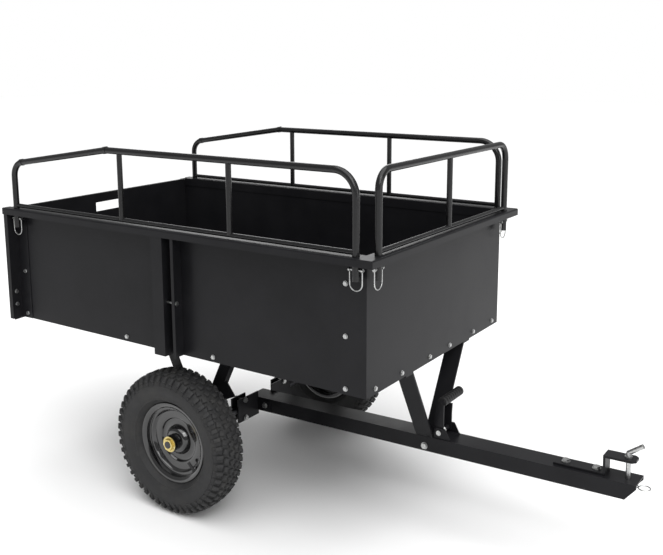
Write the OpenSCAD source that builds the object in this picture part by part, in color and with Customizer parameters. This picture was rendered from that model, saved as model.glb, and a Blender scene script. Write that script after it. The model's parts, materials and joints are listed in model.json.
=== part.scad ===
// Tow behind dump cart: a sheet-steel tub with lift-off side rails, carried on two
// tyres, with a channel drawbar, a foot latch and a pin hitch.
// Lengths are in millimetres. +X points forward to the hitch, +Y to the left and +Z up.

/* [Tub] */
// From the axle back to the rear end of the tub's panels
tub_rear = 642; // [500:1:800]
// From the axle forward to the front panel's outer face
tub_front = 615; // [500:1:760]
// Width across the outer faces of the side panels
tub_w = 749; // [600:1:950]
// Height of the floor's underside above the ground
floor_z = 456; // [420:1:560]
// Height of the tub from the floor's underside to the top of its rim
tub_h = 347.5; // [280:0.5:430]
// Thickness of the panels, the floor and the rim
sheet_t = 2; // [1.5:0.1:3]
// Height of the floor's turned-up edge
floor_edge_h = 28; // [22:1:40]
// Width of the strips that overlap the side panels at the corners
corner_strip_w = 72; // [50:1:100]

/* [Rim and posts] */
// Overhang of the rim past the side panels
rim_side_w = 41.5; // [36:0.5:55]
// Overhang of the rim past the front panel
rim_front_w = 39.4; // [36:0.1:55]
// Depth of the rim's turned-down lip
rim_lip_h = 19.5; // [12:0.5:30]
// Radius of the rim's outer top edge
rim_edge_r = 4; // [2.5:0.5:6]
// Length of the middle post along the side
mid_post_l = 40; // [25:1:60]
// Gap between the middle post and the front panel's turned-out edge
mid_slot_l = 30; // [20:1:45]
// Width of the rear post's foot on the side panel
rear_post_foot = 46; // [30:1:70]
// How far the rear post's outer flange runs back past the panels
rear_flange_l = 14; // [12:0.5:20]
// Height of the lower tailgate bracket
gate_bracket_h = 95; // [60:1:140]

/* [Side rails and front rail] */
// Height of the rails' centreline above the ground
rail_z = 1001; // [930:1:1080]
// Diameter of the rail tube
rail_d = 18; // [15:0.5:22]
// Wall of the rail tube
rail_wall = 1.5; // [1:0.1:2.5]
// Diameter of the upright bars
bar_d = 15; // [10:0.5:16]
// Diameter of the long bar just above the rim
low_bar_d = 12; // [8:0.5:14]
// Slope of the side rail's rear stretch, in degrees
rail_slope = 9; // [5:0.5:14]
// Bend radius of the rail tube
rail_bend_r = 45; // [35:1:60]
// How far the rail legs reach below the rim's top
rail_leg_drop = 58; // [45:1:80]

/* [Wheels and axle] */
// Overall diameter of the tyre
tyre_d = 406; // [360:1:420]
// Width of the tyre
tyre_w = 104; // [80:1:110]
// Distance between the middle planes of the two tyres
track = 744; // [720:1:900]
// Diameter of the wheel's rim flange
flange_d = 233; // [200:1:250]
// Diameter of the axle
axle_d = 20; // [16:1:24]
// Outer diameter of the wheel's hub tube
hub_d = 46; // [36:1:60]

/* [Drawbar] */
// Width of the drawbar channel
bar_w = 66.6; // [50:0.1:90]
// Height of the drawbar channel
bar_h = 42; // [36:1:60]
// Wall of the drawbar channel
bar_t = 4; // [3:0.5:6]
// Length of the drawbar from the axle forward to its nose
bar_l = 1160; // [980:5:1400]
// Upward tilt of the drawbar, in degrees
bar_tilt = 1.2; // [0.5:0.1:2]
// Width of the bent strap that carries the tub's front
v_w = 51; // [35:1:70]
// Thickness of the bent strap
v_t = 5; // [4:0.5:8]

/* [Hitch] */
// Diameter of the hitch pin
pin_d = 12; // [10:0.5:16]
// Clear height between the drawbar and the hitch strap
hitch_gap = 47; // [30:1:60]
// Width of the hitch strap
strap_w = 40; // [30:1:55]
// Thickness of the hitch strap
strap_t = 6; // [5:0.5:8]

/* [Hidden] */
$fn = 48;
// Clearances
run_gap = 0.08;
face_gap = 0.3;
hole_gap = 0.3;
slide_gap = 0.5;
// Wheels stand on the ground, so the axle is half a tyre up
axle_z = tyre_d / 2;
axle_r = axle_d / 2;
// Panels
side_y = tub_w / 2;
side_in = side_y - sheet_t;
edge_in = side_in - sheet_t;
front_in = tub_front - sheet_t;
rim_z = floor_z + tub_h;
panel_top = rim_z - sheet_t;
panel_h = panel_top - floor_z;
rim_y = side_y + rim_side_w;
rim_x = tub_front + rim_front_w;
post_y = rim_y - sheet_t - 2;
rim_inner_h = 25;
floor_joint_x = 0;
// Tailgate and its channels
gate_half_w = side_y + 11;
gate_gap = face_gap + 0.2;
gate_d = 10.2;
guide_lip = 30;
guide_x = tub_rear + sheet_t;
guide_back = guide_x + gate_d + 0.8;
bracket_back = tub_rear + 19;
bracket_plate = 20;
// Bolts
bolt_r = 3;
bolt_flange_r = 6.5;
bolt_flange_h = 1.2;
bolt_head_h = 4.2;
nut_h = 5;
big_bolt_r = 5;
corner_bolt_x = tub_front - 58;
corner_bolt_z = [floor_z + 15, floor_z + 146, floor_z + 275];
low_bolt_z = floor_z + 14;
low_bolt_x = [-185, 138];
front_bolt_y = [58, 207, 336];
front_bolt_z = floor_z + 15;
rear_bolt_x = -tub_rear + 26;
rear_bolt_z = [floor_z + 15, floor_z + 148];
gate_bolt_z = [floor_z + 45, floor_z + 85];
gate_bolt_y = (side_y + post_y) / 2 + 2.5;
fin_bolt_z = floor_z + 149;
// Rails
rail_r = rail_d / 2;
rail_y = side_y + 20.5;
rail_rear_x = -tub_rear + 29;
rail_front_x = tub_front - 18;
rail_level_x = -215;
rail_front_bend = 60;
knuckle = 0.12;
sleeve_t = 1.2;
sleeve_half = 6;
front_rail_x = tub_front + 19;
front_rail_y = side_y - 17.5;
side_bar_x = [-162, 222];
leg_z = rim_z - rail_leg_drop;
low_bar_z = rim_z + 3 + low_bar_d / 2;
// Lock pins and their wire bails
lock_r = 3;
lock_z = leg_z + 27;
lock_half = 20;
bail_wire = 1.5;
bail_half = 17;
bail_drop = 33;
eye_r = 5;
eye_w = 3;
// Undercarriage
hanger_y = 280;
frame_h = 25;
frame_t = 4;
leg_top_x = 120;
leg_w = 38;
leg_low_h = 60;
leg_bolt_h = 132;
leg_slope = leg_top_x / (floor_z - axle_z);
hanger_bush_r = axle_r + 6;
hanger_hole_r = hanger_bush_r + 0.1;
// Wheels
wheel_y = track / 2;
rim_half = 27;
rim_t = 3;
bead_r = 101.6;
valve_r = 4;
hub_in = wheel_y - 54;
hub_out = wheel_y + 36;
bush_r = axle_r + 3;
washer_t = 2.5;
axle_end = hub_out + 10;
// Drawbar, in its own tilted frame with the axle at the origin
bar_top = axle_r + 7;
bar_low = bar_top - bar_h;
bar_rear = -20;
cross_bolt_x = 591;
cross_bolt_z = -10.4;
v_x0 = tub_front - v_w;
v_foot_z = axle_z + bar_top / cos(bar_tilt) + tub_front * tan(bar_tilt) + face_gap;
v_top_y = 150;
v_tab = 34;
// Foot latch
latch_x0 = tub_front + 2;
latch_l = 50;
latch_ear_h = 30;
latch_t = 3;
latch_half = 30;
lever_half = 26;
lever_t = 4;
pivot_x = tub_front + 18;
pivot_z = bar_top + 17;
pivot_r = 4;
grip_r = 13;
grip_l = 106;
grip_y0 = -18;
grip_x = pivot_x + 4;
grip_z = pivot_z + 84;
// Hitch
strap_z = bar_top + hitch_gap;
strap_base_l = 128;
strap_rise_x = bar_l - 79;
pin_x = bar_l - 29;
pin_r = pin_d / 2;
strap_end = pin_x + 22;
strap_bolt_x = [strap_rise_x - 105, strap_rise_x - 27];
pin_low = -17;
clip_z = -2;
clip_wire = 1.5;
clip_ring_r = 14;
clip_ring_x = pin_x + 39;
clip_off = (pin_r + clip_wire + 0.7) / 2;
// Front and rear ends, which centre the part on its own length
x_max = (clip_ring_x + clip_ring_r) * cos(bar_tilt) - clip_z * sin(bar_tilt) + clip_wire;
axle_x = (bracket_back - x_max) / 2;

// ---- Placing ----

// Moves what is built from the axle into the part's own frame
module on_axle() { translate([axle_x, 0, 0]) children(); }
// The drawbar's tilted frame, with its origin on the axle
module on_bar() { on_axle() translate([0, 0, axle_z]) rotate([0, -bar_tilt, 0]) children(); }
// Builds a left-hand shape on either side
module on_side(left) {
    if (left) children();
    else mirror([0, 1, 0]) children();
}
module both_sides() { for (left = [true, false]) on_side(left) children(); }
// Box from two opposite corners
module box(a, b) { translate(a) cube(b - a); }
// Round bar from one point to another
module rod(p, q, r) {
    d = q - p;
    l = norm(d);
    translate(p) rotate([0, acos(d[2] / l), atan2(d[1], d[0])]) cylinder(h = l, r = r);
}
// Turn a shape built along +Z to point outward from the left side, forward or back
module face_left() { rotate([-90, 0, 0]) children(); }
module face_front() { rotate([0, 90, 0]) children(); }

// ---- Fasteners: the head stands on z = 0 and the shank runs down through the grip ----

module bolt(r, grip) {
    k = r / bolt_r;
    cylinder(h = bolt_flange_h * k, r = bolt_flange_r * k);
    cylinder(h = bolt_head_h * k, r = 5.6 * k, $fn = 6);
    translate([0, 0, -grip - nut_h * k - 2]) cylinder(h = grip + nut_h * k + 2.5, r = r);
}
module nut(r, grip) {
    k = r / bolt_r;
    translate([0, 0, -grip - nut_h * k]) difference() {
        cylinder(h = nut_h * k, r = 5.6 * k, $fn = 6);
        translate([0, 0, -1]) cylinder(h = nut_h * k + 2, r = r + 0.05);
    }
}
module hole(r, l = 60) { translate([0, 0, -l / 2]) cylinder(h = l, r = r + hole_gap); }

// Each place of the left side's bolts calls its children with their grip in $grip
module at_side_bolts() {
    for (z = corner_bolt_z) {
        $grip = 2 * sheet_t + (z < floor_z + floor_edge_h ? sheet_t : 0);
        translate([corner_bolt_x, side_y + sheet_t, z]) face_left() children();
    }
    for (z = rear_bolt_z) {
        $grip = 2 * sheet_t + (z < floor_z + floor_edge_h ? sheet_t : 0);
        translate([rear_bolt_x, side_y + sheet_t, z]) face_left() children();
    }
    for (x = low_bolt_x) {
        $grip = 2 * sheet_t;
        translate([x, side_y, low_bolt_z]) face_left() children();
    }
}
module at_front_bolts() {
    for (y = front_bolt_y) {
        $grip = 2 * sheet_t;
        translate([tub_front, y, front_bolt_z]) face_front() children();
    }
}
module at_gate_bolts() {
    for (z = gate_bolt_z) {
        $grip = 2 * sheet_t;
        translate([-tub_rear + sheet_t, gate_bolt_y, z]) face_front() children();
    }
}
module at_fin_bolt() {
    $grip = mid_slot_l + 2 * sheet_t;
    translate([mid_slot_l + sheet_t, gate_bolt_y, fin_bolt_z]) face_front() children();
}
module at_leg_bolts() {
    top_h = floor_z - frame_h / 2 - axle_z;
    for (side = [-1, 1]) {
        $grip = 2 * frame_t;
        translate([side * top_h * leg_slope, hanger_y + frame_t, axle_z + top_h]) face_left() children();
        translate([side * leg_bolt_h * leg_slope, hanger_y + 2 * frame_t, axle_z + leg_bolt_h])
            face_left() children();
    }
}
module at_v_bolts() {
    $grip = v_t + sheet_t;
    translate([tub_front - v_w / 2, v_top_y + v_tab / 2, floor_z - v_t]) rotate([180, 0, 0]) children();
}
module at_tub_bolts() {
    at_side_bolts() children();
    at_front_bolts() children();
    at_gate_bolts() children();
    at_fin_bolt() children();
    at_leg_bolts() children();
    at_v_bolts() children();
}
module tub_bolts() { on_axle() color("gainsboro") both_sides() at_tub_bolts() bolt(bolt_r, $grip); }
module tub_nuts() { on_axle() color("silver") both_sides() at_tub_bolts() nut(bolt_r, $grip); }

// ---- Tub panels ----

module side_panel_rear(left) {
    on_axle() on_side(left) color("#252527") difference() {
        box([-tub_rear, side_in, floor_z], [mid_slot_l, side_y, panel_top]);
        at_side_bolts() hole(bolt_r);
    }
}
// Its rear edge turns out as a fin with a small return lip
module side_panel_front(left) {
    lip = 10;
    on_axle() on_side(left) color("#252527") difference() {
        union() {
            box([mid_slot_l, side_in, floor_z], [front_in, side_y, panel_top]);
            box([mid_slot_l, side_in, floor_z], [mid_slot_l + sheet_t, post_y, panel_top]);
            box([mid_slot_l, post_y - sheet_t, floor_z], [mid_slot_l + lip, post_y, panel_top]);
        }
        at_side_bolts() hole(bolt_r);
        at_fin_bolt() hole(bolt_r, 2 * mid_slot_l + 20);
    }
}
module front_panel() {
    on_axle() color("#252527") difference() {
        union() {
            box([front_in, -side_y - sheet_t, floor_z], [tub_front, side_y + sheet_t, panel_top]);
            both_sides() box([tub_front - sheet_t - corner_strip_w, side_y, floor_z],
                [tub_front, side_y + sheet_t, panel_top]);
        }
        both_sides() at_side_bolts() hole(bolt_r);
        both_sides() at_front_bolts() hole(bolt_r);
    }
}
// Floor sheet with turned-up side edges, from one x to another
module floor_sheet(x0, x1) {
    box([x0, -side_in, floor_z], [x1, side_in, floor_z + sheet_t]);
    both_sides() box([x0, edge_in, floor_z], [x1, side_in, floor_z + floor_edge_h]);
}
module floor_rear() {
    on_axle() color("#1f1f21") difference() {
        floor_sheet(-tub_rear, floor_joint_x);
        both_sides() at_side_bolts() hole(bolt_r);
    }
}
module floor_front() {
    on_axle() color("#1f1f21") difference() {
        union() {
            floor_sheet(floor_joint_x, front_in);
            box([front_in - sheet_t, -side_in, floor_z], [front_in, side_in, floor_z + floor_edge_h]);
        }
        both_sides() at_side_bolts() hole(bolt_r);
        both_sides() at_front_bolts() hole(bolt_r);
        both_sides() at_v_bolts() hole(bolt_r);
    }
}

// ---- Rim, posts and tailgate channels ----

// Cross-section of the rim: x outward from the sheet's inner face, y up to the rim's top
module rim_section(w) {
    translate([0, -rim_inner_h - sheet_t]) square([sheet_t, rim_inner_h + sheet_t]);
    translate([0, -sheet_t]) square([w - rim_edge_r, sheet_t]);
    translate([w - sheet_t, -rim_lip_h]) square([sheet_t, rim_lip_h - rim_edge_r]);
    translate([w - rim_edge_r, -rim_edge_r]) intersection() {
        square(rim_edge_r);
        difference() {
            circle(r = rim_edge_r);
            circle(r = rim_edge_r - sheet_t);
        }
    }
}
module at_rail_legs() {
    for (x = [rail_rear_x, rail_front_x]) translate([x, rail_y, rim_z]) children();
}
module rim_side(left) {
    rear = -tub_rear - rear_flange_l;
    on_axle() on_side(left) color("#2c2c2e") difference() {
        translate([rear, edge_in, rim_z]) rotate([90, 0, 90])
            linear_extrude(tub_front - 2 * sheet_t - rear) rim_section(rim_y - edge_in);
        box([rear - 1, edge_in - 1, rim_z - 40], [-tub_rear, gate_half_w + sheet_t, rim_z + 1]);
        at_rail_legs() hole(rail_r, 20);
    }
}
module rim_front() {
    on_axle() color("#2c2c2e") difference() {
        union() {
            intersection() {
                translate([tub_front - 2 * sheet_t, rim_y, rim_z]) rotate([90, 0, 0])
                    linear_extrude(2 * rim_y) rim_section(rim_x - tub_front + 2 * sheet_t);
                union() {
                    box([front_in - sheet_t, -edge_in, rim_z - 40], [front_in, edge_in, rim_z + 1]);
                    box([front_in - sheet_t, -rim_y, rim_z - sheet_t], [rim_x, rim_y, rim_z]);
                    box([front_in, -rim_y, rim_z - 40], [rim_x, rim_y, rim_z]);
                }
            }
            both_sides() box([front_in - sheet_t, rim_y - sheet_t, rim_z - rim_lip_h],
                [rim_x - sheet_t, rim_y, rim_z - sheet_t]);
        }
        both_sides() translate([front_rail_x, front_rail_y, rim_z]) hole(rail_r, 20);
    }
}
// Box post over the joint of the two side panels
module mid_post(left) {
    on_axle() on_side(left) color("#252527") difference() {
        box([-mid_post_l, side_y, floor_z], [0, post_y, panel_top]);
        box([-mid_post_l + sheet_t, side_y - 1, floor_z - 1], [-sheet_t, post_y - sheet_t, panel_top + 1]);
        at_fin_bolt() hole(bolt_r, 2 * mid_slot_l + 20);
    }
}
module rear_post(left) {
    on_axle() on_side(left) color("#252527") difference() {
        union() {
            box([-tub_rear, side_y, floor_z], [-tub_rear + rear_post_foot, side_y + sheet_t, panel_top]);
            box([-tub_rear, side_y, floor_z], [-tub_rear + sheet_t, post_y, panel_top]);
            box([-tub_rear - rear_flange_l, post_y - sheet_t, floor_z], [-tub_rear + sheet_t, post_y, panel_top]);
        }
        at_side_bolts() hole(bolt_r);
        at_gate_bolts() hole(bolt_r);
    }
}
// Channel that traps the tailgate's edge: plate on the post, web and inward lip
module gate_channel(z0, z1, back) {
    wall = gate_half_w + slide_gap;
    box([-guide_x, wall, z0], [-tub_rear, wall + bracket_plate, z1]);
    box([-back, wall, z0], [-tub_rear, wall + sheet_t, z1]);
    box([-back, wall + sheet_t - guide_lip, z0], [-back + sheet_t, wall + sheet_t, z1]);
}
module gate_guides() {
    on_axle() color("#252527") both_sides()
        gate_channel(floor_z + gate_bracket_h, panel_top, guide_back);
}
module gate_brackets() {
    z0 = floor_z - 4;
    on_axle() color("#252527") both_sides() difference() {
        union() {
            gate_channel(z0, floor_z + gate_bracket_h, bracket_back);
            box([-bracket_back, gate_half_w + slide_gap + sheet_t - guide_lip, z0],
                [-tub_rear - 1, gate_half_w + slide_gap + sheet_t, z0 + sheet_t]);
        }
        at_gate_bolts() hole(bolt_r);
    }
}
module tailgate() {
    x1 = -tub_rear - gate_gap;
    x0 = x1 - gate_d;
    z0 = floor_z - 4 + sheet_t + face_gap;
    z1 = rim_z - 3;
    on_axle() color("#252527") difference() {
        union() {
            box([x1 - sheet_t, -gate_half_w, z0], [x1, gate_half_w, z1]);
            both_sides() box([x0, gate_half_w - sheet_t, z0], [x1, gate_half_w, z1]);
            box([x0, -gate_half_w, z1 - sheet_t], [x1, gate_half_w, z1]);
            box([x0, -gate_half_w, z0], [x1, gate_half_w, z0 + sheet_t]);
            both_sides() box([x0, gate_half_w / 3, z0], [x0 + sheet_t, gate_half_w / 3 + 40, z1]);
            both_sides() for (y = [0, 38]) box([x0, gate_half_w / 3 + y, z0],
                [x1, gate_half_w / 3 + y + sheet_t, z1]);
        }
        box([x0 - 1, -60, z1 - 60], [x1 + 1, 60, z1 - 30]);
    }
}

// ---- Underframe ----

module underframe_rails() {
    x0 = -tub_rear + 62;
    x1 = tub_front - v_w - 5;
    on_axle() color("#1c1c1e") both_sides() difference() {
        union() {
            box([x0, hanger_y - frame_t, floor_z - frame_h], [x1, hanger_y, floor_z]);
            box([x0, hanger_y - frame_h, floor_z - frame_t], [x1, hanger_y, floor_z]);
        }
        at_leg_bolts() hole(bolt_r);
    }
}
// Upturned channels between the two rails
module cross_members() {
    w = 40;
    reach = hanger_y - frame_h - slide_gap;
    on_axle() color("#1c1c1e") for (x = [-tub_rear + 180, -w / 2, tub_front - 180]) difference() {
        box([x, -reach, floor_z - frame_h], [x + w, reach, floor_z]);
        box([x + 3, -reach - 1, floor_z - frame_h + 3], [x + w - 3, reach + 1, floor_z + 1]);
    }
}
// Leaning leg from one height above the axle to another: a strip of the given width
module leg_strip(h0, h1, edge0, edge1) {
    polygon([[h0 * leg_slope + edge0, h0], [h0 * leg_slope + edge1, h0],
        [h1 * leg_slope + edge1, h1], [h1 * leg_slope + edge0, h1]]);
}
// Extrudes an X-Z outline around the axle from one y to another
module hanger_slab(y0, y1) {
    translate([0, y1, axle_z]) rotate([90, 0, 0]) linear_extrude(y1 - y0) children();
}
module hanger_legs() {
    half = leg_w / 2;
    under_rail = floor_z - frame_h - 1 - axle_z;
    on_axle() color("#1f1f21") both_sides() for (side = [0, 1]) mirror([side, 0, 0]) difference() {
        union() {
            hanger_slab(hanger_y, hanger_y + frame_t)
                leg_strip(leg_low_h, floor_z - axle_z, -half, half);
            hanger_slab(hanger_y - 18, hanger_y + frame_t)
                leg_strip(leg_low_h + 40, under_rail, half - frame_t, half);
        }
        at_leg_bolts() hole(bolt_r);
    }
}
// Plates that join the legs and carry the tub on the axle
module hangers() {
    on_axle() color("#232325") both_sides() difference() {
        hanger_slab(hanger_y + frame_t, hanger_y + 2 * frame_t) difference() {
            union() {
                circle(r = hanger_bush_r + 18);
                polygon([[-33, -8], [33, -8], [82, 103], [135, 127], [105, 167], [70, 145],
                    [-70, 145], [-105, 167], [-135, 127], [-82, 103]]);
            }
            circle(r = hanger_hole_r);
        }
        at_leg_bolts() hole(bolt_r);
    }
}
module hanger_bushes() {
    inner = hanger_y - 14;
    outer = hub_in - washer_t - 2 * face_gap;
    on_axle() color("#8f8f92") both_sides() translate([0, 0, axle_z]) face_left() difference() {
        union() {
            translate([0, 0, inner]) cylinder(h = outer - inner, r = hanger_bush_r);
            translate([0, 0, hanger_y + frame_t - 4]) cylinder(h = 4, r = hanger_bush_r + 5);
        }
        cylinder(h = outer + 1, r = axle_r + run_gap);
    }
}
// Bent strap: a foot on the drawbar, two leaning arms and tabs under the floor
module v_bracket() {
    foot = bar_w / 2;
    top = floor_z;
    bend = v_t * 1.15;
    on_axle() color("#232325") difference() {
        translate([tub_front - v_w, 0, 0]) rotate([90, 0, 90]) linear_extrude(v_w) polygon([
            [-foot, v_foot_z], [foot, v_foot_z], [v_top_y, top - v_t], [v_top_y + v_tab, top - v_t],
            [v_top_y + v_tab, top], [v_top_y - bend / 2, top], [foot - bend / 2, v_foot_z + v_t],
            [-foot + bend / 2, v_foot_z + v_t], [-v_top_y + bend / 2, top], [-v_top_y - v_tab, top],
            [-v_top_y - v_tab, top - v_t], [-v_top_y, top - v_t]]);
        both_sides() at_v_bolts() hole(bolt_r);
    }
}

// ---- Rails ----

// Bend in the X-Z plane around a centre, from one angle to another
module bend(c, radius, a0, a1, r) {
    translate([c[0], 0, c[1]]) rotate([90, 0, 0]) rotate([0, 0, a0])
        rotate_extrude(angle = a1 - a0) translate([radius, 0]) circle(r = r);
}
// Side rail's bent tube, with short sleeves where its sloping stretch begins and ends
module side_rail_path(r, low) {
    s = rail_slope;
    cx = rail_rear_x + rail_bend_r;
    start_x = cx - rail_bend_r * sin(s);
    cz = round(rail_z - (rail_level_x - start_x) * tan(s) - rail_bend_r * cos(s));
    start_z = cz + rail_bend_r * cos(s);
    rod([rail_rear_x, 0, low], [rail_rear_x, 0, cz], r);
    bend([cx, cz], rail_bend_r, 90 + s, 180, r);
    run = [rail_level_x - start_x, 0, rail_z - start_z];
    along = run / norm(run);
    start = [start_x, 0, start_z];
    crest = [rail_level_x, 0, rail_z];
    rod(start + along, crest - 2 * along, r);
    rod(start - sleeve_half * along, start + sleeve_half * along, r + sleeve_t);
    rod(crest - sleeve_half * along, crest + sleeve_half * along, r + sleeve_t);
    rod(crest + [2, 0, 0], [rail_front_x - rail_front_bend, 0, rail_z], r);
    bend([rail_front_x - rail_front_bend, rail_z - rail_front_bend], rail_front_bend, 0, 90, r);
    rod([rail_front_x, 0, low], [rail_front_x, 0, rail_z - rail_front_bend], r);
}
module side_rail(left) {
    on_axle() on_side(left) translate([0, rail_y, 0]) color("#1b1b1d") difference() {
        union() {
            side_rail_path(rail_r, leg_z);
            rod([rail_rear_x, 0, low_bar_z], [rail_front_x, 0, low_bar_z], low_bar_d / 2);
            for (x = side_bar_x) rod([x, 0, low_bar_z], [x, 0, rail_z], bar_d / 2);
        }
        for (x = [rail_rear_x, rail_front_x]) translate([x, 0, lock_z]) face_front() hole(lock_r);
    }
}
// Path of the front rail, built along X and turned across the cart
module front_rail_path(r, low) {
    y = front_rail_y;
    k = rail_bend_r;
    for (side = [-1, 1]) rod([side * y, 0, low], [side * y, 0, rail_z - k], r);
    bend([y - k, rail_z - k], k, 0, 90, r);
    bend([k - y, rail_z - k], k, 90, 180, r);
    rod([k - y, 0, rail_z], [y - k, 0, rail_z], r);
}
module front_rail() {
    y = front_rail_y;
    on_axle() translate([front_rail_x, 0, 0]) rotate([0, 0, 90]) color("#1b1b1d") difference() {
        union() {
            front_rail_path(rail_r, leg_z);
            rod([-y, 0, low_bar_z], [y, 0, low_bar_z], low_bar_d / 2);
            rod([0, 0, low_bar_z], [0, 0, rail_z], bar_d / 2);
        }
        front_rail_path(rail_r - rail_wall, leg_z - 1);
        for (side = [-1, 1]) translate([side * y, 0, lock_z]) face_front() hole(lock_r);
    }
}
// Places of the left side's lock pins, with the pin's axis along the local X
module at_lock(spot) {
    if (spot == "rear") translate([rail_rear_x, rail_y, lock_z]) children();
    if (spot == "side") translate([rail_front_x, rail_y, lock_z]) children();
    if (spot == "front") translate([front_rail_x, front_rail_y, lock_z]) rotate([0, 0, 90]) children();
}
module lock_pins() {
    head = 1.3;
    on_axle() color("silver") both_sides() for (spot = ["rear", "side", "front"]) at_lock(spot) face_front() {
        translate([0, 0, -lock_half]) cylinder(h = 2 * lock_half, r = lock_r);
        for (z = [-lock_half, lock_half - head]) translate([0, 0, z]) cylinder(h = head, r = lock_r + 1.5);
    }
}
// Wire bail that hangs from both ends of a lock pin and closes below the rail leg
module lock_bail(left, spot) {
    on_axle() on_side(left) at_lock(spot) color("silver") difference() {
        union() {
            for (side = [-1, 1]) {
                translate([side * bail_half, 0, 0]) face_front()
                    translate([0, 0, -eye_w / 2]) cylinder(h = eye_w, r = eye_r);
                rod([side * bail_half, 0, -eye_r + 0.6], [side * bail_half, 0, -bail_drop], bail_wire);
            }
            bend([0, -bail_drop], bail_half, 180, 360, bail_wire);
        }
        face_front() translate([0, 0, -bail_half - eye_w]) cylinder(h = 2 * (bail_half + eye_w), r = lock_r + run_gap);
    }
}

// ---- Axle and wheels ----

module axle() {
    on_axle() color("#55565a") translate([0, 0, axle_z]) face_left()
        translate([0, 0, -axle_end]) cylinder(h = 2 * axle_end, r = axle_r);
}
// Turns an outline of radius and outward distance around the wheel's axis
module wheel_turn(left) {
    on_axle() on_side(left) translate([0, wheel_y, axle_z]) face_left() rotate_extrude() children();
}
// Rounded-square outline with half width b and heights a_out and a_in about a radius
module tyre_outline(mid_r, a_out, a_in, b, n) {
    polygon([for (t = [0:12:348]) let (c = cos(t), d = sin(t), a = c > 0 ? a_out : a_in)
        [mid_r + a * sign(c) * pow(abs(c), 2 / n), b * sign(d) * pow(abs(d), 2 / n)]]);
}
module tyre(left) {
    mid_r = tyre_d / 2 - 53;
    wall = 9;
    flange = flange_d / 2 + face_gap;
    color("#2f2f31") wheel_turn(left) {
        difference() {
            tyre_outline(mid_r, 53, 46, tyre_w / 2, 2.6);
            translate([0, -tyre_w]) square([flange, 2 * tyre_w]);
            translate([flange - 1, -15]) square([12, 30]);
            intersection() {
                tyre_outline(mid_r, 53 - wall, 46 - wall, tyre_w / 2 - wall, 2.6);
                translate([flange + 7, -tyre_w]) square([tyre_d, 2 * tyre_w]);
            }
        }
        for (side = [-1, 1]) translate([bead_r + 0.1, side * 19.9 - 4.9]) square([flange - bead_r + 1, 9.8]);
    }
}
module wheel_disc(left) {
    flange_t = 2;
    lift = [[bead_r - 1, 12], [92, 12], [85, 4], [66, 4], [61, -3], [42, -3], [33, 12], [hub_d / 2 - 1, 15]];
    color("#141416") difference() {
        wheel_turn(left) {
            translate([bead_r - rim_t, -rim_half]) square([rim_t, 2 * rim_half]);
            for (side = [-1, 1]) translate([bead_r - rim_t, side * (rim_half - flange_t / 2) - flange_t / 2])
                square([flange_d / 2 - bead_r + rim_t, flange_t]);
            polygon(concat(lift, [for (i = [len(lift) - 1:-1:0]) [lift[i][0], lift[i][1] - rim_t]]));
            translate([bush_r + 0.05, hub_in - wheel_y + 2])
                square([hub_d / 2 - bush_r - 0.05, hub_out - hub_in - 4]);
        }
        at_valve(left) cylinder(h = bead_r + 5, r = valve_r + hole_gap);
    }
}
// The valve's axis runs outward through the rim, low on the front side
module at_valve(left) {
    on_axle() on_side(left) translate([0, wheel_y + 18, axle_z]) rotate([0, 44, 0]) face_front() children();
}
module valve(left) {
    valve_low = 70;
    color("#1a1a1a") at_valve(left) {
        translate([0, 0, valve_low]) cylinder(h = bead_r - 0.5 - valve_low, r = valve_r);
        translate([0, 0, bead_r - rim_t - 2.7]) cylinder(h = 2.5, r = valve_r + 1.8);
    }
}
module hub_bushes(left) {
    l = 22;
    color("#cfc9b8") for (end = [0, 1]) wheel_turn(left) difference() {
        y = end == 0 ? hub_in - wheel_y : hub_out - wheel_y;
        dir = end == 0 ? 0 : -1;
        union() {
            translate([axle_r + run_gap, y + dir * l]) square([bush_r - axle_r - run_gap, l]);
            translate([axle_r + run_gap, y + dir * 2]) square([bush_r + 5 - axle_r, 2]);
        }
    }
}
module hub_washers() {
    on_axle() color("#c9a94c") both_sides() translate([0, 0, axle_z]) face_left()
        for (y = [hub_in - face_gap - washer_t, hub_out + face_gap]) translate([0, 0, y]) difference() {
            cylinder(h = washer_t, r = y > hub_out ? 22 : hub_d / 2);
            translate([0, 0, -1]) cylinder(h = washer_t + 2, r = axle_r + 0.05);
        }
}
module hub_nuts() {
    y = hub_out + face_gap + washer_t;
    on_axle() color("#c9a94c") both_sides() translate([0, y, axle_z]) face_left() difference() {
        cylinder(h = 6, r = 17, $fn = 6);
        translate([0, 0, -1]) cylinder(h = 8, r = axle_r + 0.05);
    }
}

// ---- Drawbar ----

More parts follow.
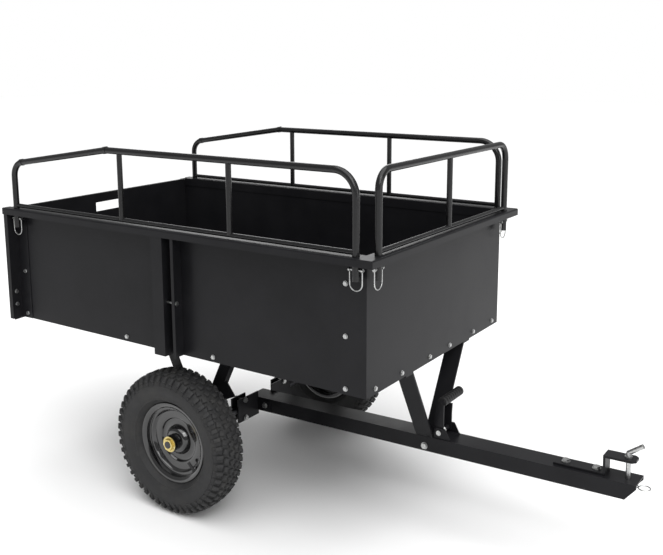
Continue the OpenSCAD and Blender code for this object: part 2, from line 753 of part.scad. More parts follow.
// Places on the drawbar: strap bolts from above, and clamp bolts on the left side
module at_strap_bolts() {
    $grip = strap_t + bar_t;
    for (x = strap_bolt_x) translate([x, 0, bar_top + strap_t]) children();
}
module at_clamp_bolts() {
    for (z = [-28, 28]) {
        $grip = 2 * (axle_r + face_gap + bar_t);
        translate([axle_r + face_gap + bar_t, 97, z]) face_front() children();
    }
    $grip = 2 * bar_t;
    translate([42, bar_w / 2 + bar_t, -4]) face_left() children();
}
module tongue() {
    half = bar_w / 2;
    on_bar() color("#2b2b2d") difference() {
        box([bar_rear, -half, bar_low], [bar_l, half, bar_top]);
        box([bar_rear - 1, bar_t - half, bar_low - 1], [bar_l + 1, half - bar_t, bar_top - bar_t]);
        translate([0, half + 1, 0]) rotate([90, 0, 0]) linear_extrude(bar_w + 2)
            polygon([[bar_l - 27, bar_low - 0.01], [bar_l - 27, bar_low - 1], [bar_l + 1, bar_low - 1], [bar_l + 1, 8]]);
        face_left() translate([0, 0, -half - 1]) cylinder(h = bar_w + 2, r = axle_r + hole_gap);
        translate([cross_bolt_x, 0, cross_bolt_z]) face_left() hole(bolt_r * 1.5, bar_w + 10);
        translate([pin_x, 0, 0]) cylinder(h = bar_top + 1, r = pin_r + run_gap);
        at_strap_bolts() hole(big_bolt_r);
        both_sides() at_clamp_bolts() hole(big_bolt_r * 0.8, 30);
    }
}
module axle_clamps() {
    x = axle_r + face_gap;
    half = bar_w / 2;
    on_bar() color("#232325") both_sides() difference() {
        union() {
            box([x, half, -36], [x + bar_t, 130, 36]);
            box([x, half, -22], [62, half + bar_t, 14]);
            box([-x - bar_t, 65, -36], [-x, 130, 36]);
        }
        at_clamp_bolts() hole(big_bolt_r * 0.8, 70);
    }
}
module axle_clamp_bolts() {
    on_bar() color("gainsboro") both_sides() at_clamp_bolts() {
        bolt(big_bolt_r * 0.8, $grip);
        nut(big_bolt_r * 0.8, $grip);
    }
}
module latch_cross_bolt() {
    on_bar() color("gainsboro") translate([cross_bolt_x, -bar_w / 2, cross_bolt_z]) rotate([90, 0, 0]) {
        bolt(bolt_r * 1.5, bar_w);
        nut(bolt_r * 1.5, bar_w);
    }
}
module latch_base() {
    on_bar() color("#232325") difference() {
        translate([latch_x0, 0, bar_top]) {
            box([0, -latch_half, 0], [latch_l, latch_half, latch_t]);
            both_sides() translate([0, latch_half, 0]) rotate([90, 0, 0]) linear_extrude(latch_t)
                polygon([[0, 0], [latch_l, 0], [latch_l - 16, latch_ear_h], [3, latch_ear_h]]);
        }
        translate([pivot_x, 0, pivot_z]) face_left() hole(pivot_r, 2 * latch_half + 10);
    }
}
module pedal_pivot_pin() {
    reach = latch_half + 3;
    on_bar() color("silver") translate([pivot_x, 0, pivot_z]) face_left() {
        translate([0, 0, -reach]) cylinder(h = 2 * reach, r = pivot_r);
        for (z = [-reach, latch_half]) translate([0, 0, z]) cylinder(h = 3, r = pivot_r + 3);
    }
}
// Coil around the lever's pivot tube, with one arm on the base and one standing up
module pedal_spring() {
    wire = 1;
    coil_r = 9.2;
    on_bar() color("silver") translate([pivot_x, 0, pivot_z]) {
        for (i = [0:5]) translate([0, i * 1.8 - 14, 0]) face_left()
            rotate_extrude() translate([coil_r, 0]) circle(r = wire);
        rod([coil_r, -14, 0], [coil_r + 6, -14, bar_top + latch_t - pivot_z + wire], wire);
        rod([-coil_r, -5, 0], [-coil_r + 2, -5, 26], wire);
    }
}
module pedal_lever() {
    top = grip_z - pivot_z;
    short = top - grip_r - 2;
    back = 15;
    on_bar() color("#1f1f21") translate([pivot_x, 0, pivot_z]) difference() {
        union() {
            lever_plate(-lever_half, [[-back, 10], [-back + 0.5, top / 2], [-9, top - 6], [4, top + 6],
                [13, top - 6], [12, top / 2], [11, 0], [-11, 0]]);
            lever_plate(lever_half - lever_t, [[-back, 10], [-back + 0.5, top / 2], [-11, short],
                [14, short], [12, top / 2], [11, 0], [-11, 0]]);
            face_left() translate([0, 0, lever_t - lever_half - 0.5])
                cylinder(h = 2 * (lever_half - lever_t) + 1, r = 7);
            translate([grip_x - pivot_x, 0, top]) face_left() translate([0, 0, -lever_half])
                cylinder(h = lever_half + grip_y0 + grip_l - 4, r = 5);
        }
        face_left() translate([0, 0, -lever_half - 1]) cylinder(h = 2 * lever_half + 2, r = pivot_r + run_gap);
    }
}
module lever_plate(y, outline) {
    translate([0, y + lever_t, 0]) rotate([90, 0, 0]) linear_extrude(lever_t) {
        polygon(outline);
        circle(r = 11);
    }
}
// Rubber sleeve with ribs around it and a closed end
module pedal_grip() {
    rib = 6;
    on_bar() color("#111112") translate([grip_x, grip_y0, grip_z]) face_left() difference() {
        union() {
            cylinder(h = grip_l, r = grip_r - 1.2);
            for (z = [0:2 * rib:grip_l - rib]) translate([0, 0, z]) cylinder(h = rib + 2, r = grip_r);
        }
        translate([0, 0, -1]) cylinder(h = grip_l - 3, r = 5.05);
    }
}

// ---- Hitch ----

module hitch_strap() {
    half = strap_w / 2;
    top = strap_z + strap_t;
    cut = 9;
    on_bar() color("#2b2b2d") difference() {
        union() {
            box([strap_rise_x - strap_base_l - 3, -half, bar_top], [strap_rise_x, half, bar_top + strap_t]);
            box([strap_rise_x - strap_t, -half, bar_top], [strap_rise_x, half, top]);
            translate([0, 0, strap_z]) linear_extrude(strap_t)
                polygon([[strap_rise_x - strap_t, -half], [strap_end - cut, -half], [strap_end, cut - half],
                    [strap_end, half - cut], [strap_end - cut, half], [strap_rise_x - strap_t, half]]);
        }
        translate([pin_x, 0, strap_z - 1]) cylinder(h = strap_t + 2, r = pin_r + run_gap);
        at_strap_bolts() hole(big_bolt_r);
    }
}
module hitch_strap_bolts() {
    on_bar() color("gainsboro") at_strap_bolts() {
        bolt(big_bolt_r, $grip);
        nut(big_bolt_r, $grip);
    }
}
// Pin with a collar on the strap and a handle bent forward and up
module hitch_pin() {
    top = strap_z + strap_t;
    bend_z = top + 12;
    on_bar() color("silver") difference() {
        union() {
            translate([pin_x, 0, pin_low]) cylinder(h = bend_z - pin_low, r = pin_r);
            translate([pin_x, 0, top + face_gap]) cylinder(h = 3.5, r = pin_r + 3.5);
            translate([pin_x, 0, bend_z]) sphere(r = pin_r + knuckle);
            rod([pin_x, 0, bend_z], [pin_x + 34, 0, bend_z + 24], pin_r);
        }
        translate([pin_x, 0, clip_z]) face_front() hole(clip_wire, 4 * pin_r);
    }
}
// Spring clip: a straight leg through the pin, a ring, and a leg beside the pin
module r_clip() {
    neck_x = clip_ring_x - sqrt(pow(clip_ring_r, 2) - pow(clip_off, 2));
    leg = clip_wire - 0.15;
    on_bar() color("silver") translate([0, 0, clip_z]) {
        rod([pin_x - 16, 0, 0], [neck_x, 0, 0], leg);
        rod([pin_x - 12, 2 * clip_off, 0], [neck_x, 2 * clip_off, 0], leg);
        translate([clip_ring_x, clip_off, 0]) rotate_extrude() translate([clip_ring_r, 0]) circle(r = clip_wire);
    }
}

tongue();
axle();
axle_clamps();
axle_clamp_bolts();
latch_base();
latch_cross_bolt();
pedal_pivot_pin();
pedal_spring();
hitch_strap();
hitch_strap_bolts();
hub_nuts();
hub_washers();
tyre(true);  // tyre_left
wheel_disc(true);  // wheel_disc_left
hub_bushes(true);  // hub_bushes_left
valve(true);  // valve_left
tyre(false);  // tyre_right
wheel_disc(false);  // wheel_disc_right
hub_bushes(false);  // hub_bushes_right
valve(false);  // valve_right
pedal_lever();
pedal_grip();
hitch_pin();
r_clip();
side_panel_rear(true);  // side_panel_rear_left
side_panel_front(true);  // side_panel_front_left
side_panel_rear(false);  // side_panel_rear_right
side_panel_front(false);  // side_panel_front_right
front_panel();
floor_rear();
floor_front();
rim_side(true);  // rim_left
rim_side(false);  // rim_right
rim_front();
mid_post(true);  // mid_post_left
mid_post(false);  // mid_post_right
rear_post(true);  // rear_post_left
rear_post(false);  // rear_post_right
gate_guides();
gate_brackets();
underframe_rails();
cross_members();
hangers();
hanger_legs();
hanger_bushes();
v_bracket();
side_rail(true);  // side_rail_left
side_rail(false);  // side_rail_right
front_rail();
lock_pins();
tub_bolts();
tub_nuts();
tailgate();
lock_bail(true, "rear");  // lock_bail_rear_left
lock_bail(false, "rear");  // lock_bail_rear_right
lock_bail(true, "side");  // lock_bail_side_left
lock_bail(false, "side");  // lock_bail_side_right
lock_bail(true, "front");  // lock_bail_front_left
lock_bail(false, "front");  // lock_bail_front_right
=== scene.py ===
"""Finishes, wheels, tyres and studio for a tow behind dump cart."""
import json
import math
import bpy
from bpy.props import FloatProperty, IntProperty, PointerProperty, StringProperty
from mathutils import Matrix, Vector


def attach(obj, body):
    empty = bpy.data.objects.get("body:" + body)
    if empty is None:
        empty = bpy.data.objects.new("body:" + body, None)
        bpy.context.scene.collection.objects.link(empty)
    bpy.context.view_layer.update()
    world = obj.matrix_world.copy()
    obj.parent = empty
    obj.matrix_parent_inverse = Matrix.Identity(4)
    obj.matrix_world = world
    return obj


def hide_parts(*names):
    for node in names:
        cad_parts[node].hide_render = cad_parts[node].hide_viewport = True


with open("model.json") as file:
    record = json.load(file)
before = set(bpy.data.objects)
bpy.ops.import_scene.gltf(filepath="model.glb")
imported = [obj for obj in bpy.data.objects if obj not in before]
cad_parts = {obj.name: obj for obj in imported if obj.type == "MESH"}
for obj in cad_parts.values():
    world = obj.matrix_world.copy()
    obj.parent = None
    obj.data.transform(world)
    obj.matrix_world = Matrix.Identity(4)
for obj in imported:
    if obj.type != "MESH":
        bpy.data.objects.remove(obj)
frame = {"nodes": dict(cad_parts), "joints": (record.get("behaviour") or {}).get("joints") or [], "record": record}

bl_info = {
    "name": "Tow Behind Cart",
    "version": (1, 0, 0),
    "blender": (4, 5, 0),
    "location": "View3D > Sidebar > Cart",
    "description": "Finishes the cart, builds its wheels and tyres and sets up a studio",
    "category": "Object",
}

MM = 0.001
# Width of the specks in the coats' gloss, in mm
SPECK = 2.2
JOINTS = {j["name"]: j for j in frame["joints"]}
AXLE = Vector(JOINTS["dump"]["pos_m"])
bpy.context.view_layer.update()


class CartFinish(bpy.types.PropertyGroup):
    """Colours of the cart's finishes, as sRGB hex values."""
    powder: StringProperty(name="Powder coat", description="Black of the panels", default="161618")
    gloss: StringProperty(name="Gloss black", description="Black of the rails", default="121213")
    wheel: StringProperty(name="Wheel enamel", description="Black of the wheel discs", default="0b0b0c")
    tyre: StringProperty(name="Tyre rubber", description="Dark grey of the tyres", default="1e1e1f")
    dust: StringProperty(name="Dust", description="Grey of the dust in the tread", default="3a3937")
    zinc: StringProperty(name="Zinc plate", description="Silver of the pins and bolts", default="cbcbc6")
    yellow: StringProperty(name="Yellow zinc", description="Gold of the hub nuts", default="ded09a")


class CartTyre(bpy.types.PropertyGroup):
    """Sizes of the tyres."""
    pitches: IntProperty(name="Tread pitches", description="Blocks round the tyre in each row", default=50)
    lug_rise: FloatProperty(name="Lug height", description="How far the blocks stand out",
                            default=5.2 * MM, subtype="DISTANCE", unit="LENGTH")
    steps: IntProperty(name="Steps", description="Segments round the tyre", default=144)


class CartStudio(bpy.types.PropertyGroup):
    """Camera and light."""
    lens: FloatProperty(name="Lens", description="Focal length in millimetres", default=49.42)
    azimuth: FloatProperty(name="Azimuth", description="Camera's turn about the cart",
                           default=math.radians(33.903), subtype="ANGLE")
    elevation: FloatProperty(name="Elevation", description="Camera's height above level",
                             default=math.radians(10.506), subtype="ANGLE")
    roll: FloatProperty(name="Roll", description="Camera's roll",
                        default=math.radians(-0.165), subtype="ANGLE")
    shift: FloatProperty(name="Shift", description="Vertical lens shift", default=-0.0867)
    key: FloatProperty(name="Key light", description="Power of the key light in watts", default=70.0)
    top: FloatProperty(name="Top light", description="Strength of the soft light from above", default=2.6)
    fill: FloatProperty(name="Fill", description="Brightness of the room round the cart", default=0.4)


# ---- Nodes and finishes ----

def linear(hex_value):
    """sRGB hex to a linear colour."""
    parts = [int(hex_value[i:i + 2], 16) / 255 for i in (0, 2, 4)]
    return tuple(c / 12.92 if c <= 0.04045 else ((c + 0.055) / 1.055) ** 2.4 for c in parts) + (1.0,)


def add(tree, kind, settings=None, links=None):
    """One node with its attributes or socket values, and the sockets that feed it."""
    node = tree.nodes.new(kind)
    for key, value in (settings or {}).items():
        if isinstance(key, str) and hasattr(node, key):
            setattr(node, key, value)
        else:
            node.inputs[key].default_value = value
    for key, source in (links or {}).items():
        tree.links.new(source, node.inputs[key])
    return node


def ramp(tree, source, stops):
    """Colour ramp over a source, from (place, colour) stops."""
    node = add(tree, "ShaderNodeValToRGB", links={"Fac": source})
    element = node.color_ramp.elements
    while len(element) < len(stops):
        element.new(0.5)
    for e, (place, colour) in zip(element, stops):
        e.position = place
        e.color = colour
    return node.outputs["Color"]


def grey(v):
    """A grey of one linear value."""
    return (v, v, v, 1.0)


def noise(tree, where, scale, detail, roughness=0.5):
    """The value of a noise at a place."""
    settings = {"Scale": scale, "Detail": detail, "Roughness": roughness}
    return add(tree, "ShaderNodeTexNoise", settings, {"Vector": where}).outputs["Fac"]


def roughen(tree, shader, height, strength, distance):
    """Bumps a surface by a height."""
    bump = add(tree, "ShaderNodeBump", {"Strength": strength, "Distance": distance}, {"Height": height})
    tree.links.new(bump.outputs["Normal"], shader.inputs["Normal"])


def start(name):
    """A new material with its tree, its surface shader and its object coordinates."""
    mat = bpy.data.materials.new(name)
    mat.use_nodes = True
    tree = mat.node_tree
    shader = tree.nodes["Principled BSDF"]
    where = add(tree, "ShaderNodeTexCoord").outputs["Object"]
    return mat, tree, shader, where


def coated_steel(name, hex_value, roughness, peel_mm, peel, shine, coat):
    """Black coating on sheet steel: faint orange peel, a little dust and uneven gloss."""
    mat, tree, shader, where = start(name)
    dark = linear(hex_value)
    light = tuple(min(1.0, c * 1.45 + 0.002) for c in dark[:3]) + (1.0,)
    cloud = noise(tree, where, 7.0, 5.0, 0.6)
    speck = noise(tree, where, 1 / (SPECK * MM), 2.0)
    tree.links.new(ramp(tree, cloud, [(0.3, dark), (0.78, light)]), shader.inputs["Base Color"])
    gloss = ramp(tree, cloud, [(0.25, grey(roughness * 0.82)), (0.8, grey(roughness * 1.25))])
    fine = ramp(tree, speck, [(0.35, grey(0.92)), (0.7, grey(1.0))])
    mixed = add(tree, "ShaderNodeMix", {"data_type": "RGBA", "blend_type": "MULTIPLY"})
    mixed.inputs[0].default_value = 1.0
    tree.links.new(gloss, mixed.inputs[6])
    tree.links.new(fine, mixed.inputs[7])
    tree.links.new(mixed.outputs[2], shader.inputs["Roughness"])
    roughen(tree, shader, noise(tree, where, 1 / (peel_mm * MM), 1.5), peel, 0.15 * MM)
    shader.inputs["Specular IOR Level"].default_value = shine
    shader.inputs["Coat Weight"].default_value = coat
    shader.inputs["Coat Roughness"].default_value = 0.12
    return mat


def plated_steel(name, colours, roughness):
    """Plated steel: cloudy plating colour, fine grain in the gloss and soft dents."""
    mat, tree, shader, where = start(name)
    stops = [(0.25 + 0.5 * i / (len(colours) - 1), linear(c)) for i, c in enumerate(colours)]
    cloud = noise(tree, where, 160.0, 4.0, 0.6)
    tree.links.new(ramp(tree, cloud, stops), shader.inputs["Base Color"])
    grain = noise(tree, where, 900.0, 3.0)
    gloss = [(0.3, grey(roughness * 0.7)), (0.75, grey(roughness * 1.5))]
    tree.links.new(ramp(tree, grain, gloss), shader.inputs["Roughness"])
    roughen(tree, shader, grain, 0.25, 0.1 * MM)
    shader.inputs["Metallic"].default_value = 1.0
    return mat


def rubber(name, hex_value, dust_hex, roughness, grain_mm, dust_from):
    """Moulded rubber: matt, with a fine grain and pale dust in patches."""
    mat, tree, shader, where = start(name)
    patch = noise(tree, where, 22.0, 7.0, 0.68)
    stops = [(dust_from, linear(hex_value)), (0.85, linear(dust_hex))]
    tree.links.new(ramp(tree, patch, stops), shader.inputs["Base Color"])
    gloss = [(0.3, grey(roughness * 0.85)), (0.8, grey(min(1, roughness * 1.2)))]
    tree.links.new(ramp(tree, patch, gloss), shader.inputs["Roughness"])
    roughen(tree, shader, noise(tree, where, 1 / (grain_mm * MM), 3.0), 0.45, 0.3 * MM)
    return mat


def nylon(name):
    """Natural nylon: off-white, waxy and faintly mottled."""
    mat, tree, shader, where = start(name)
    mottle = noise(tree, where, 120.0, 3.0)
    colours = [(0.3, linear("cbc5b2")), (0.7, linear("ded9c9"))]
    tree.links.new(ramp(tree, mottle, colours), shader.inputs["Base Color"])
    tree.links.new(ramp(tree, mottle, [(0.3, grey(0.38)), (0.7, grey(0.52))]), shader.inputs["Roughness"])
    return mat


FINISHES = {}


class CART_OT_finish(bpy.types.Operator):
    """Gives every part of the cart its finish"""
    bl_idname = "cart.finish"
    bl_label = "Finish the parts"

    def execute(self, context):
        look = context.scene.cart_finish
        FINISHES.update({
            "powder_coat": coated_steel("semi_gloss_powder_coat", look.powder, 0.36, 1.1, 0.22, 0.14, 0.0),
            "rail_coat": coated_steel("gloss_powder_coat", look.gloss, 0.24, 1.4, 0.15, 0.3, 0.1),
            "wheel_gloss": coated_steel("gloss_enamel", look.wheel, 0.14, 2.4, 0.08, 0.5, 0.8),
            "zinc": plated_steel("bright_zinc_plate", [look.zinc, "abacad", "e2e2dc"], 0.3),
            "yellow_zinc": plated_steel("yellow_zinc_plate", [look.yellow, "cdb976", "ece3b8"], 0.34),
            "bare_steel": plated_steel("oiled_bare_steel", ["5b5b5e", "4a4a4d", "6b6b6c"], 0.4),
            "tyre_rubber": rubber("moulded_tyre_rubber", look.tyre, look.dust, 0.72, 0.9, 0.48),
            "grip_rubber": rubber("ribbed_grip_rubber", "141415", "2b2b2b", 0.62, 0.7, 0.55),
            "valve_rubber": rubber("valve_rubber", "161617", "2b2b2b", 0.6, 0.7, 0.55),
            "bush_plastic": nylon("natural_nylon"),
        })
        for part in frame["record"]["subparts"]:
            dress(frame["nodes"][part["node"]], part["material_slot"])
        return {"FINISHED"}


def dress(obj, slot_name):
    """Puts a finish in an object's only slot."""
    obj.data.materials.clear()
    obj.data.materials.append(FINISHES[slot_name])


# ---- Modelling helpers ----

def only(obj):
    """Selects one object and makes it active."""
    bpy.ops.object.select_all(action="DESELECT")
    obj.select_set(True)
    bpy.context.view_layer.objects.active = obj


def outline_object(name, points, closed=True):
    """An object of edges through the points."""
    mesh = bpy.data.meshes.new(name)
    count = len(points)
    edges = [(i, (i + 1) % count) for i in range(count if closed else count - 1)]
    mesh.from_pydata(points, edges, [])
    obj = bpy.data.objects.new(name, mesh)
    bpy.context.collection.objects.link(obj)
    return obj


def spin(obj, centre, steps):
    """Turns an outline a full turn about the axle."""
    only(obj)
    bpy.ops.object.mode_set(mode="EDIT")
    bpy.ops.mesh.select_all(action="SELECT")
    bpy.ops.mesh.spin(steps=steps, angle=2 * math.pi, center=centre, axis=(0, 1, 0))
    bpy.ops.mesh.select_all(action="SELECT")
    bpy.ops.mesh.remove_doubles(threshold=1e-5)
    bpy.ops.mesh.normals_make_consistent(inside=False)
    bpy.ops.object.mode_set(mode="OBJECT")


def join(pieces):
    """Joins pieces into the first of them."""
    bpy.ops.object.select_all(action="DESELECT")
    for piece in pieces:
        piece.select_set(True)
    bpy.context.view_layer.objects.active = pieces[0]
    bpy.ops.object.join()
    return pieces[0]


def finish_piece(obj, slot_name, body, *nodes):
    """Smooths a piece, dresses it, and lets it stand for its CAD nodes."""
    only(obj)
    bpy.ops.object.shade_smooth_by_angle(angle=math.radians(32))
    dress(obj, slot_name)
    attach(obj, body)
    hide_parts(*nodes)


# ---- Tyres ----

# Half of the tyre's cross-section from bead to crown: radius and distance from the middle, in mm
SIDEWALL = [(102.0, 14.0), (102.0, 24.4), (112.0, 24.6), (117.4, 25.8), (119.5, 30.5), (124.0, 36.8),
            (127.0, 39.6), (128.0, 41.6), (130.0, 42.4), (131.5, 42.2), (138.0, 46.0), (148.0, 49.0),
            (160.0, 50.0), (166.0, 49.7), (166.8, 50.6), (168.6, 50.4), (169.2, 49.2), (176.0, 47.4),
            (184.0, 43.8), (190.5, 38.0), (194.5, 30.0), (196.8, 18.0), (197.6, 6.0)]
# Tread: radius of the crown, depth of the blocks in the carcass, height of the side blocks and their taper
CROWN = 202.8 * MM
SUNK = 3 * MM
SIDE_RISE = 4.4 * MM
TAPER = 0.16
# Bevel of a block's edges
BLOCK_BEVEL = 1.1 * MM


def block(length, width, height, taper):
    """One tread block: its base is on z = 0, its top is smaller and its edges are bevelled."""
    bpy.ops.object.select_all(action="DESELECT")
    bpy.ops.mesh.primitive_cube_add(size=1, location=(0, 0, 0))
    obj = bpy.context.object
    for v in obj.data.vertices:
        shrink = 1 - taper if v.co.z > 0 else 1
        v.co = Vector((v.co.x * length * shrink, v.co.y * width * shrink, (v.co.z + 0.5) * height))
    bpy.ops.object.mode_set(mode="EDIT")
    bpy.ops.mesh.select_all(action="SELECT")
    bpy.ops.mesh.bevel(offset=BLOCK_BEVEL, segments=2, affect="EDGES")
    bpy.ops.object.mode_set(mode="OBJECT")
    mesh = obj.data.copy()
    bpy.data.objects.remove(obj)
    return mesh


def build_tyre(side, look):
    """A tyre with its carcass spun from the section and its tread blocks set round it."""
    centre = Vector(JOINTS[f"wheel_{side}_turn"]["pos_m"])
    half = [(r * MM, y * MM) for r, y in SIDEWALL]
    section = half + [(r, -y) for r, y in reversed(half)]
    carcass = outline_object(f"tyre_carcass_{side}", [centre + Vector((0, y, r)) for r, y in section])
    spin(carcass, centre, look.steps)

    rise = look.lug_rise + SUNK
    crown = CROWN - rise
    # Rows of blocks: place across, lean, base radius, length and width, stagger, twist and height
    rows = []
    for hand in (-1, 1):
        near = 0.25 * (1 + hand)
        far = 0.25 * (1 - hand)
        rows.append((9.5 * hand, 0.0, crown, (14 * MM, 15 * MM), near, 12, rise))
        rows.append((28.0 * hand, hand * 12.0, crown - 2.4 * MM, (15.5 * MM, 15 * MM), far, -18, rise))
        rows.append((40.6 * hand, hand * 47.0, 185.6 * MM, (11.5 * MM, 19 * MM), near, 0, rise))
        rows.append((45.8 * hand, hand * 74.0, 174.5 * MM, (7.5 * MM, 11 * MM), near, 0, SIDE_RISE))
    pieces = [carcass]
    for across, lean, base, (length, width), stagger, twist, height in rows:
        mesh = block(length, width, height, TAPER)
        for i in range(look.pitches):
            turn = 2 * math.pi * (i + stagger) / look.pitches
            place = (Matrix.Translation(centre) @ Matrix.Rotation(turn, 4, "Y")
                     @ Matrix.Translation(Vector((0, across * MM, base)))
                     @ Matrix.Rotation(math.radians(-lean), 4, "X")
                     @ Matrix.Rotation(math.radians(twist), 4, "Z"))
            copy = bpy.data.objects.new("block", mesh.copy())
            copy.data.transform(place)
            bpy.context.collection.objects.link(copy)
            pieces.append(copy)
    join(pieces)
    carcass.name = f"tread_tyre_{side}"
    return carcass


# Thickness of the wheel's sheet and of its hub tube
SHEET = 2.2 * MM
HUB_WALL = 9.6 * MM
# Hub tube: radius and distance outward from the wheel's middle, in mm
HUB_LINE = [(18.0, -51.8), (18.0, 33.8)]
# Sheet of the rim and disc from the outer lip to the hub: radius and distance outward, in mm
RIM_LINE = [(114.2, 24.6), (114.4, 26.0), (112.9, 27.3), (110.6, 27.2), (107.4, 25.9), (104.0, 24.7),
            (101.4, 22.6), (100.3, 18.6), (99.9, 12.4), (97.6, 10.6), (94.4, 10.6), (91.4, 9.6),
            (87.6, 4.6), (84.6, 2.6), (80.0, 2.4), (68.0, 2.4), (64.4, 1.2), (61.4, -3.2),
            (58.2, -4.6), (53.0, -4.6), (44.6, -4.6), (41.4, -3.2), (34.6, 9.2), (31.4, 12.2),
            (26.4, 13.2), (22.2, 13.4)]
BARREL_LINE = [(99.9, 12.4), (99.6, 0.0), (99.9, -14.0), (100.3, -18.6), (101.4, -22.6), (104.0, -24.7),
               (107.4, -25.9), (110.6, -27.2), (112.9, -27.3), (114.4, -26.0), (114.2, -24.6)]


def spin_sheet(name, centre, hand, line, thick, steps):
    """A sheet turned about the axle from a line of radius and distance points."""
    points = [centre + Vector((0, hand * y * MM, r * MM)) for r, y in line]
    obj = outline_object(name, points, closed=False)
    spin(obj, centre, steps)
    skin = obj.modifiers.new("skin", "SOLIDIFY")
    skin.thickness = thick
    skin.offset = 0
    bpy.ops.object.modifier_apply(modifier=skin.name)
    return obj


def build_disc(side, steps):
    """A wheel: pressed disc with its rolled outer lip, the barrel behind it and the hub tube."""
    hand = 1 if side == "left" else -1
    centre = Vector(JOINTS[f"wheel_{side}_turn"]["pos_m"])
    disc = spin_sheet(f"pressed_disc_{side}", centre, hand, RIM_LINE, SHEET, steps)
    barrel = spin_sheet(f"barrel_{side}", centre, hand, BARREL_LINE, SHEET, steps)
    hub = spin_sheet(f"hub_{side}", centre, hand, HUB_LINE, HUB_WALL, steps)
    return join([disc, barrel, hub])


class CART_OT_wheels(bpy.types.Operator):
    """Builds both pressed wheels"""
    bl_idname = "cart.wheels"
    bl_label = "Build the wheels"

    def execute(self, context):
        for side in ("left", "right"):
            disc = build_disc(side, context.scene.cart_tyre.steps)
            finish_piece(disc, "wheel_gloss", f"wheel_{side}", f"wheel_disc_{side}")
        return {"FINISHED"}


class CART_OT_tyres(bpy.types.Operator):
    """Builds both tyres with their tread"""
    bl_idname = "cart.tyres"
    bl_label = "Build the tyres"

    def execute(self, context):
        for side in ("left", "right"):
            tyre = build_tyre(side, context.scene.cart_tyre)
            finish_piece(tyre, "tyre_rubber", f"wheel_{side}", f"tyre_{side}")
        return {"FINISHED"}


# ---- Studio ----

# The camera stands in front of the axle, to its right and above it
EYE = Vector((AXLE.x + 1.6833, -2.1112, 1.2655))


def soft_light(name, place, size, power, target):
    """A square soft light that looks at a point."""
    bpy.ops.object.select_all(action="DESELECT")
    bpy.ops.object.light_add(type="AREA", location=place)
    light = bpy.context.object
    light.name = name
    light.data.size = size
    light.data.energy = power
    light.rotation_euler = (Vector(target) - Vector(place)).to_track_quat("-Z", "Y").to_euler()
    return light


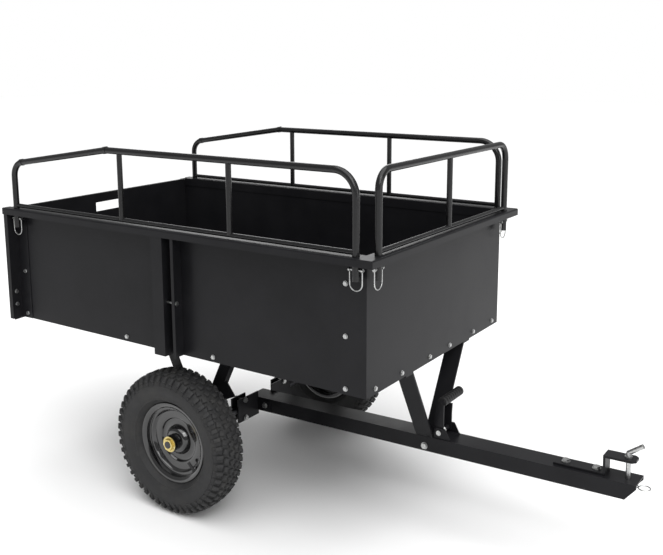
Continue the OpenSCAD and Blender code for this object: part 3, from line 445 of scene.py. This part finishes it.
class CART_OT_stage(bpy.types.Operator):
    """Sets up the floor, the lights and the camera"""
    bl_idname = "cart.stage"
    bl_label = "Set up the studio"

    def execute(self, context):
        studio = context.scene.cart_studio
        bpy.ops.object.select_all(action="DESELECT")
        bpy.ops.mesh.primitive_plane_add(size=40, location=(0, 0, -0.5 * MM))
        floor = bpy.context.object
        floor.name = "studio_floor"
        mat, tree, shader, where = start("matt_white_floor")
        tones = ramp(tree, noise(tree, where, 0.6, 3.0), [(0.3, grey(0.86)), (0.7, grey(0.9))])
        tree.links.new(tones, shader.inputs["Base Color"])
        shader.inputs["Roughness"].default_value = 0.9
        floor.data.materials.append(mat)

        world = context.scene.world or bpy.data.worlds.new("studio")
        context.scene.world = world
        world.use_nodes = True
        back = world.node_tree.nodes["Background"]
        back.inputs["Color"].default_value = (1.0, 1.0, 1.0, 1.0)
        seen = add(world.node_tree, "ShaderNodeLightPath").outputs["Is Camera Ray"]
        dim = {"operation": "MULTIPLY_ADD", 1: 1 - studio.fill, 2: studio.fill}
        glow = add(world.node_tree, "ShaderNodeMath", dim, {0: seen})
        world.node_tree.links.new(glow.outputs["Value"], back.inputs["Strength"])
        context.scene.view_settings.view_transform = "Standard"
        middle = (0.0, 0.0, 0.5)
        soft_light("key", (2.6, -2.4, 3.2), 2.2, studio.key, middle)
        soft_light("front", (4.4, -0.2, 1.4), 1.8, studio.key * 0.4, middle)
        soft_light("back", (-2.4, 3.0, 2.8), 2.4, studio.key * 0.6, middle)
        bpy.ops.object.select_all(action="DESELECT")
        bpy.ops.object.light_add(type="SUN", location=(0, 0, 4), rotation=(0.12, 0.16, 0))
        top = bpy.context.object
        top.name = "top"
        top.data.energy = studio.top
        top.data.angle = math.radians(70)

        a, e, r = studio.azimuth, studio.elevation, studio.roll
        ahead = Vector((-math.sin(a) * math.cos(e), math.cos(a) * math.cos(e), -math.sin(e)))
        right = Vector((math.cos(a), math.sin(a), 0))
        up = right.cross(ahead)
        x_axis = math.cos(r) * right + math.sin(r) * up
        y_axis = math.cos(r) * up - math.sin(r) * right
        rows = Matrix((x_axis, y_axis, -ahead)).transposed()
        bpy.ops.object.camera_add()
        camera = context.object
        camera.name = "studio_camera"
        camera.matrix_world = Matrix.Translation(EYE) @ rows.to_4x4()
        camera.data.sensor_width = 36
        camera.data.lens = studio.lens
        camera.data.shift_y = studio.shift
        camera.data.clip_end = 100
        camera.data.dof.use_dof = False
        context.scene.camera = camera
        return {"FINISHED"}


class CART_PT_panel(bpy.types.Panel):
    """Lists the cart's steps"""
    bl_label = "Tow Behind Cart"
    bl_idname = "CART_PT_panel"
    bl_space_type = "VIEW_3D"
    bl_region_type = "UI"
    bl_category = "Cart"

    def draw(self, context):
        for step in STEPS:
            self.layout.operator(step.bl_idname)


STEPS = (CART_OT_finish, CART_OT_wheels, CART_OT_tyres, CART_OT_stage)
SETTINGS = {"cart_finish": CartFinish, "cart_tyre": CartTyre, "cart_studio": CartStudio}


def register():
    for group in SETTINGS.values():
        bpy.utils.register_class(group)
    for name, group in SETTINGS.items():
        setattr(bpy.types.Scene, name, PointerProperty(type=group))
    for step in STEPS + (CART_PT_panel,):
        bpy.utils.register_class(step)


def unregister():
    for step in reversed(STEPS + (CART_PT_panel,)):
        bpy.utils.unregister_class(step)
    for name, group in SETTINGS.items():
        delattr(bpy.types.Scene, name)
        bpy.utils.unregister_class(group)


def main():
    register()
    bpy.ops.cart.finish()
    bpy.ops.cart.wheels()
    bpy.ops.cart.tyres()
    bpy.ops.cart.stage()


if __name__ == "__main__":
    main()
